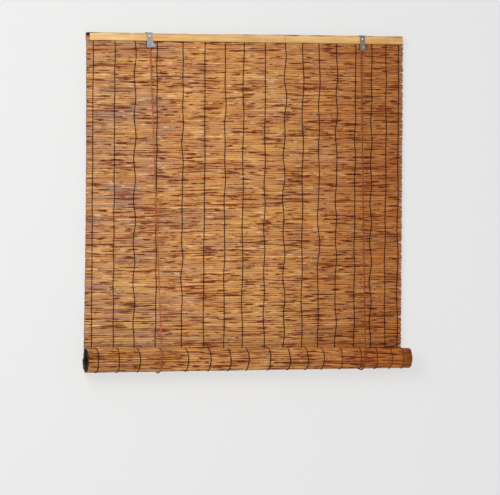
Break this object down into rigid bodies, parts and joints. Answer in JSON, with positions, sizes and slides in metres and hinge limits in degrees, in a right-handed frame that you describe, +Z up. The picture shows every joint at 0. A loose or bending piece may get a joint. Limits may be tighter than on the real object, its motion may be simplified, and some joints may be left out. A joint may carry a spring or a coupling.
{
  "type": "roll-up reed blind",
  "caption": "Roll-up blind of thin carbonised reeds tied by warp threads, hung from bamboo head laths, with lift cords over bracket pulleys and a rolled lower end.",
  "frame": {"origin": "midway between the two hanging holes, on the wall plane", "axes": "+X to the right seen from the room, +Y into the wall, +Z up"},
  "size_m": [0.923, 0.0848, 0.9151],
  "materials": {
    "reed": "satin carbonised reed",
    "bamboo_lath": "satin bamboo",
    "thread": "matt twisted thread",
    "cord": "matt braided cord",
    "zinc_plate": "dull zinc plate",
    "pulley": "plain moulded",
    "nail_steel": "bright steel"
  },
  "bodies": {
    "head_and_mat": {"front_head_lath": "bamboo_lath", "back_head_lath": "bamboo_lath", "lath_brads": "nail_steel", "reed_mat": "reed", "warp_threads": "thread", "left_pulley_bracket": "zinc_plate", "right_pulley_bracket": "zinc_plate", "left_pulley_pin": "nail_steel", "right_pulley_pin": "nail_steel", "bracket_tacks": "nail_steel", "left_front_cord": "cord", "right_front_cord": "cord", "left_back_cord": "cord", "right_back_cord": "cord"},
    "cord_loops": {"cord_loops": "cord"},
    "roll": {"rolled_mat": "reed", "roll_warp_threads": "thread", "bottom_lath": "bamboo_lath"},
    "left_pulley": {"left_pulley": "pulley"},
    "right_pulley": {"right_pulley": "pulley"}
  },
  "joints": [
    {"name": "roll_lift", "type": "slide", "parent": "head_and_mat", "child": "cord_loops", "axis": [0, 0, 1], "range_m": [0, 0.75], "deforming": ["reed_mat", "warp_threads", "left_front_cord", "right_front_cord", "left_back_cord", "right_back_cord"]},
    {"name": "roll_spin", "type": "hinge", "parent": "cord_loops", "child": "roll", "pos_m": [-0.491, -0.05045, -0.8656], "axis": [1, 0.0059, -0.0059], "range_deg": [-1440, 0]},
    {"name": "left_pulley_spin", "type": "hinge", "parent": "head_and_mat", "child": "left_pulley", "pos_m": [-0.296, -0.01837, -0.0192], "axis": [0, 1, 0], "continuous": true},
    {"name": "right_pulley_spin", "type": "hinge", "parent": "head_and_mat", "child": "right_pulley", "pos_m": [0.3066, -0.01837, -0.0192], "axis": [0, 1, 0], "continuous": true}
  ],
  "couplings": [
    {"joint": "roll_spin", "follows": "roll_lift", "rad_per_m": -32.573},
    {"joint": "left_pulley_spin", "follows": "roll_lift", "rad_per_m": 344.83},
    {"joint": "right_pulley_spin", "follows": "roll_lift", "rad_per_m": 344.83}
  ]
}
